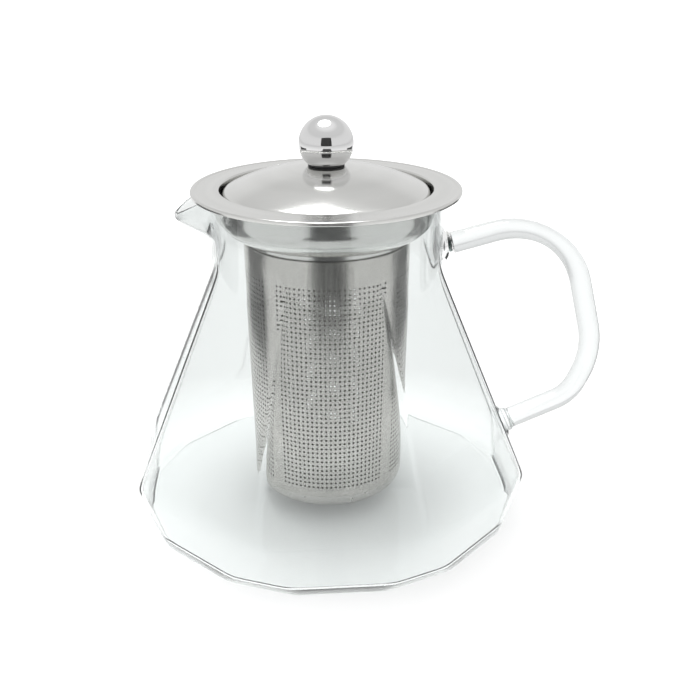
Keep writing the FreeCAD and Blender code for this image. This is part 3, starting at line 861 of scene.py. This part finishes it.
ring_line = (
    (2.2, 125.42, 0),
    (6.2, 125.25, 0.15),
    (6.2, 125.9, 0.15),
    (2.2, 125.9, 0.05),
    (2.2, 125.42, 0),
)
knob_seat = spun_piece("knob_seat_ring", ring_line, 64)
# The seat ring is coloured near-black, which makes a dark band between the ball and the dome.
near_black_finish, near_black_tree, near_black_shader = new_finish("dark_silicone")
near_black_spot = place(near_black_tree, "ShaderNodeTexCoord")
near_black_grain = place(near_black_tree, "ShaderNodeTexNoise", {"Scale": 2500.0, "Detail": 3.0})
near_black_tree.links.new(near_black_spot.outputs["Object"], near_black_grain.inputs["Vector"])
near_black_low = (0.02, 0.02, 0.021, 1)
near_black_high = (0.045, 0.045, 0.046, 1)
near_black_tone = colour_between(near_black_tree, near_black_low, near_black_high, near_black_grain.outputs["Fac"])
near_black_tree.links.new(near_black_tone, near_black_shader.inputs["Base Color"])
near_black_gloss = place(near_black_tree, "ShaderNodeMapRange", {"To Min": 0.5, "To Max": 0.7})
near_black_tree.links.new(near_black_grain.outputs["Fac"], near_black_gloss.inputs["Value"])
near_black_tree.links.new(near_black_gloss.outputs["Result"], near_black_shader.inputs["Roughness"])
knob_seat.data.materials.append(near_black_finish)
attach(knob_seat, "lid")
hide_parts("knob_spacer")

turned_steel = steel_finish(
    "turned_screw_steel",
    dull=(0.5, 0.5, 0.49, 1),
    bright=(0.62, 0.62, 0.6, 1),
    smooth=0.2,
    rough=0.36,
    rings=3000.0,
    ring_depth=0.00003,
)
for name in ("knob_washer", "knob_screw"):
    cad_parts[name].data.materials.clear()
    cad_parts[name].data.materials.append(turned_steel)


# Studio, in metres: a wide pale floor, a large soft lamp above and behind, a white surround, dark
# cards that only the metal mirrors, and the camera at the height and distance that the photograph
# was taken from.

floor_half = 6
floor_drop = 0.00005
card_height = 0.001


def set_ramp(ramp, stops):
    """Give a colour ramp grey stops of (position, tone)."""
    while len(ramp.elements) < len(stops):
        ramp.elements.new(0.5)
    for element, (position, tone) in zip(ramp.elements, stops):
        element.position = position
        element.color = (tone, tone, tone, 1)


floor_mesh = bpy.data.meshes.new("studio_floor")
floor_corners = [(i * floor_half, j * floor_half, 0) for i, j in ((-1, -1), (1, -1), (1, 1), (-1, 1))]
floor_mesh.from_pydata(floor_corners, [], [(0, 1, 2, 3)])
studio_floor = bpy.data.objects.new("studio_floor", floor_mesh)
studio_floor.location = (0, 0, -floor_drop)
bpy.context.scene.collection.objects.link(studio_floor)
pale, pale_tree, pale_shader = new_finish("pale_floor")
pale_shader.inputs["Base Color"].default_value = (0.86, 0.86, 0.86, 1)
pale_shader.inputs["Roughness"].default_value = 0.9
pale_shader.inputs["Specular IOR Level"].default_value = 0.1
floor_path = place(pale_tree, "ShaderNodeLightPath")
floor_seen = place(pale_tree, "ShaderNodeMath", operation="MAXIMUM")
pale_tree.links.new(floor_path.outputs["Is Transmission Ray"], floor_seen.inputs[0])
pale_tree.links.new(floor_path.outputs["Is Glossy Ray"], floor_seen.inputs[1])
floor_spot = place(pale_tree, "ShaderNodeTexCoord")
floor_away = place(pale_tree, "ShaderNodeVectorMath", operation="LENGTH")
pale_tree.links.new(floor_spot.outputs["Object"], floor_away.inputs[0])
# Painted light: seen through the glass and in the metal, the floor glows in a pool round and under the pot,
# weaker at the very centre so that the basket's shadow stays.
painted_pool_under_pot = place(pale_tree, "ShaderNodeValToRGB")
set_ramp(painted_pool_under_pot.color_ramp, ((0.01, 0.1), (0.055, 0.36), (0.075, 0.36), (0.12, 0.0)))
pale_tree.links.new(floor_away.outputs["Value"], painted_pool_under_pot.inputs["Fac"])
painted_pool_seen = place(pale_tree, "ShaderNodeMath", operation="MULTIPLY")
pale_tree.links.new(floor_seen.outputs["Value"], painted_pool_seen.inputs[0])
pale_tree.links.new(painted_pool_under_pot.outputs["Color"], painted_pool_seen.inputs[1])
far_lift = {"From Min": 0.12, "From Max": 0.6, "To Min": 0.07, "To Max": 0.6}
far = place(pale_tree, "ShaderNodeMapRange", far_lift)
pale_tree.links.new(floor_away.outputs["Value"], far.inputs["Value"])
straight = place(pale_tree, "ShaderNodeMath", operation="MULTIPLY")
pale_tree.links.new(far.outputs["Result"], straight.inputs[1])
pale_tree.links.new(floor_path.outputs["Is Camera Ray"], straight.inputs[0])
lift = place(pale_tree, "ShaderNodeMath", operation="MAXIMUM")
pale_tree.links.new(painted_pool_seen.outputs["Value"], lift.inputs[0])
pale_tree.links.new(straight.outputs["Value"], lift.inputs[1])
pale_shader.inputs["Emission Color"].default_value = (1, 1, 1, 1)
pale_tree.links.new(lift.outputs["Value"], pale_shader.inputs["Emission Strength"])
studio_floor.data.materials.append(pale)

surround = bpy.data.worlds.new("white_surround")
bpy.context.scene.world = surround
surround.use_nodes = True
sky = surround.node_tree
aim = place(sky, "ShaderNodeTexCoord")
aim_parts = place(sky, "ShaderNodeSeparateXYZ")
sky.links.new(aim.outputs["Generated"], aim_parts.inputs["Vector"])
ceiling = place(sky, "ShaderNodeValToRGB")
sky.links.new(aim_parts.outputs["Z"], ceiling.inputs["Fac"])
tones = ((0.0, 0.85), (0.1, 0.88), (0.3, 0.88), (0.44, 0.86), (0.56, 0.76), (0.8, 0.78), (0.93, 1.0))
set_ramp(ceiling.color_ramp, tones)
sky_path = place(sky, "ShaderNodeLightPath")
backdrop = place(sky, "ShaderNodeMix", data_type="RGBA")
backdrop.inputs[COLOUR_B].default_value = (1, 1, 1, 1)
sky.links.new(sky_path.outputs["Is Camera Ray"], backdrop.inputs["Factor"])
sky.links.new(ceiling.outputs["Color"], backdrop.inputs[COLOUR_A])
sky.links.new(backdrop.outputs[COLOUR_MIXED], sky.nodes["Background"].inputs["Color"])


def dark_card(name, corners):
    """Dark card near the pot or behind the camera, which only shows in the metal that mirrors it."""
    mesh = bpy.data.meshes.new(name)
    mesh.from_pydata(corners, [], [(0, 1, 2, 3)])
    card = bpy.data.objects.new(name, mesh)
    bpy.context.scene.collection.objects.link(card)
    card.data.materials.append(card_black)
    card.visible_camera = False
    card.visible_diffuse = False
    card.visible_shadow = False


card_black, card_tree, card_shader = new_finish("black_card")
card_shader.inputs["Base Color"].default_value = (0.03, 0.03, 0.03, 1)
card_shader.inputs["Roughness"].default_value = 0.9
card_path = place(card_tree, "ShaderNodeLightPath")
card_mirrored = place(card_tree, "ShaderNodeMath", {1: 0.5}, operation="GREATER_THAN")
card_tree.links.new(card_path.outputs["Glossy Depth"], card_mirrored.inputs[0])
# Rays that have been through one to three faces of glass are those that run inside its edges.
card_through = place(card_tree, "ShaderNodeMath", {1: 2.0, 2: 1.6}, operation="COMPARE")
card_tree.links.new(card_path.outputs["Transmission Depth"], card_through.inputs[0])
card_kept = place(card_tree, "ShaderNodeMath", operation="SUBTRACT", use_clamp=True)
card_tree.links.new(card_mirrored.outputs["Value"], card_kept.inputs[0])
card_tree.links.new(card_through.outputs["Value"], card_kept.inputs[1])
card_clear = place(card_tree, "ShaderNodeBsdfTransparent")
card_mix = place(card_tree, "ShaderNodeMixShader")
card_tree.links.new(card_kept.outputs["Value"], card_mix.inputs[0])
card_tree.links.new(card_clear.outputs["BSDF"], card_mix.inputs[1])
card_tree.links.new(card_shader.outputs["BSDF"], card_mix.inputs[2])
card_tree.links.new(card_mix.outputs["Shader"], card_tree.nodes["Material Output"].inputs["Surface"])
front = ((-0.16, -0.6), (0.16, -0.6), (0.1, -0.19), (-0.1, -0.19))
dark_card("front_floor_card", [(x, y, card_height) for x, y in front])
beside = ((0.15, 0.0), (0.5, 0.04), (0.45, 0.45), (0.13, 0.15))
for side in (-1, 1):
    corners = [(x * side, y, card_height) for x, y in beside]
    dark_card("side_floor_card_left" if side < 0 else "side_floor_card_right", corners)
behind_camera = [(-0.19, -0.42, 0.12), (0.15, -0.42, 0.12), (0.15, -0.42, 0.4), (-0.19, -0.42, 0.4)]
dark_card("camera_card", behind_camera)

lamp = bpy.data.lights.new("soft_box", "AREA")
lamp.shape = "DISK"
lamp.size = 0.55
lamp.energy = 5.0
soft_box = bpy.data.objects.new("soft_box", lamp)
soft_box.location = (-0.06, 0.13, 0.95)
soft_box.rotation_euler = (Vector((0, 0, 0.06)) - soft_box.location).to_track_quat("-Z", "Y").to_euler()
bpy.context.scene.collection.objects.link(soft_box)

eye = bpy.data.cameras.new("photo_camera")
eye.sensor_width = 36.0
eye.lens = 49.4
eye.clip_start = 0.01
photo_camera = bpy.data.objects.new("photo_camera", eye)
photo_camera.location = (-0.01674, -0.32126, 0.19546)
look_at = Vector((0.00794, -0.00061, 0.05736))
photo_camera.rotation_euler = (look_at - photo_camera.location).to_track_quat("-Z", "Y").to_euler()
bpy.context.scene.collection.objects.link(photo_camera)
bpy.context.scene.camera = photo_camera
bpy.context.scene.view_settings.view_transform = "Standard"
